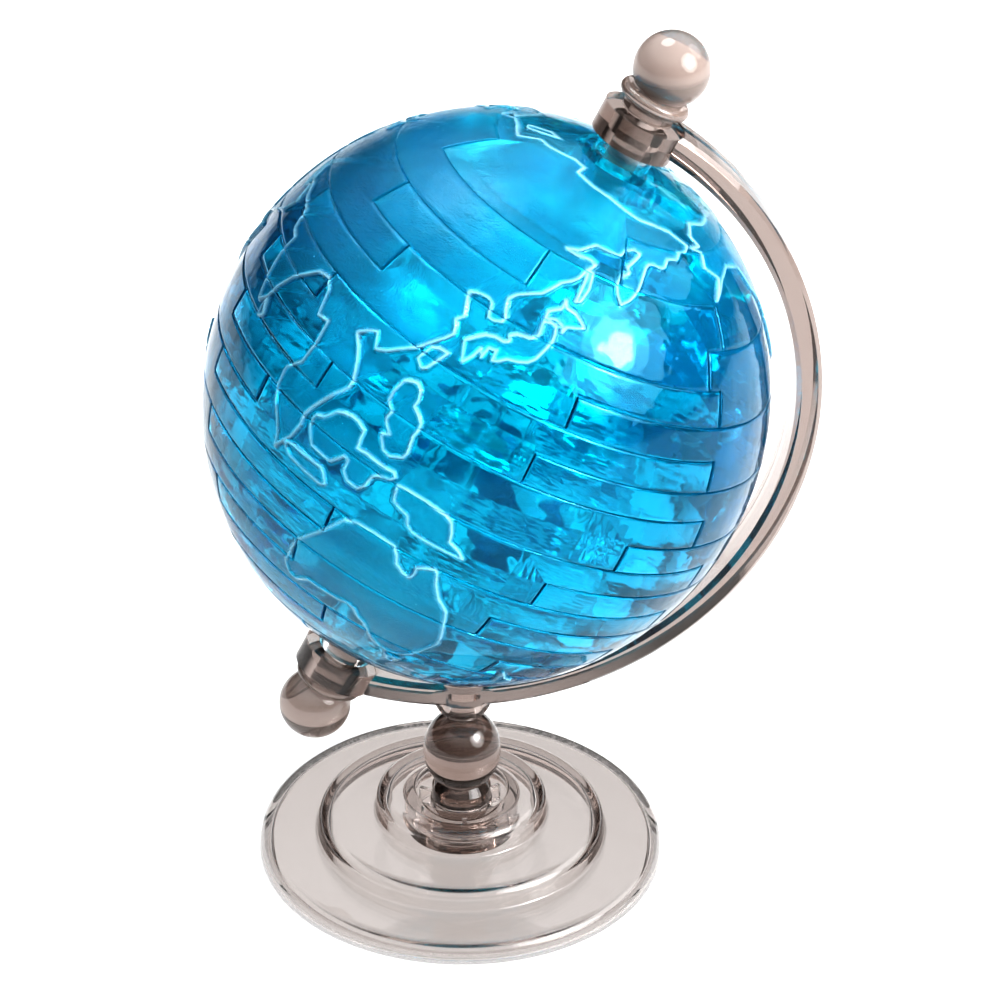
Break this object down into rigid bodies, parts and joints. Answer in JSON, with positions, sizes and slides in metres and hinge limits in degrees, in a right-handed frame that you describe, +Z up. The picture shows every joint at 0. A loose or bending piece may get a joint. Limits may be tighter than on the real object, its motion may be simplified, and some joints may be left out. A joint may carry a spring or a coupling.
{
  "type": "puzzle globe on stand",
  "caption": "Desk globe built from interlocking translucent blue layers with raised land, turning on a tilted axle in a smoky clear C-arm on a stepped round base.",
  "frame": {"origin": "centre of the base's flat underside, below the column", "axes": "+Z up, the polar axis leans towards +X in the XZ plane, and the arm curves round the +X side"},
  "size_m": [0.0923, 0.084, 0.1392],
  "materials": {
    "puzzle_blue": "translucent gloss, with a fine matt grain on the land",
    "smoke_clear": "clear gloss with a smoky brown tint",
    "clear": "water-clear gloss"
  },
  "bodies": {
    "stand": {"base_shell": "smoke_clear", "base_plate": "smoke_clear", "column": "smoke_clear", "meridian_arm": "smoke_clear"},
    "globe": {"axle_tube": "clear", "back_layer_1": "puzzle_blue", "back_layer_2": "puzzle_blue", "back_layer_3": "puzzle_blue", "back_layer_4": "puzzle_blue", "back_layer_5": "puzzle_blue", "back_layer_6": "puzzle_blue", "back_layer_7": "puzzle_blue", "back_layer_8": "puzzle_blue", "front_layer_1": "puzzle_blue", "front_layer_2": "puzzle_blue", "front_layer_3": "puzzle_blue", "front_layer_4": "puzzle_blue", "front_layer_5": "puzzle_blue", "front_layer_6": "puzzle_blue", "front_layer_7": "puzzle_blue", "front_layer_8": "puzzle_blue", "left_layer_1": "puzzle_blue", "left_layer_2": "puzzle_blue", "left_layer_3": "puzzle_blue", "left_layer_4": "puzzle_blue", "left_layer_5": "puzzle_blue", "left_layer_6": "puzzle_blue", "left_layer_7": "puzzle_blue", "left_layer_8": "puzzle_blue", "left_layer_9": "puzzle_blue", "lower_knob": "smoke_clear", "north_cap": "puzzle_blue", "right_layer_1": "puzzle_blue", "right_layer_2": "puzzle_blue", "right_layer_3": "puzzle_blue", "right_layer_4": "puzzle_blue", "right_layer_5": "puzzle_blue", "right_layer_6": "puzzle_blue", "right_layer_7": "puzzle_blue", "right_layer_8": "puzzle_blue", "right_layer_9": "puzzle_blue", "south_cap": "puzzle_blue", "upper_knob": "smoke_clear"}
  },
  "joints": [
    {"name": "globe_spin", "type": "hinge", "parent": "stand", "child": "globe", "pos_m": [0.0029, 0, 0.081], "axis": [0.4384, 0, 0.8988], "continuous": true}
  ]
}
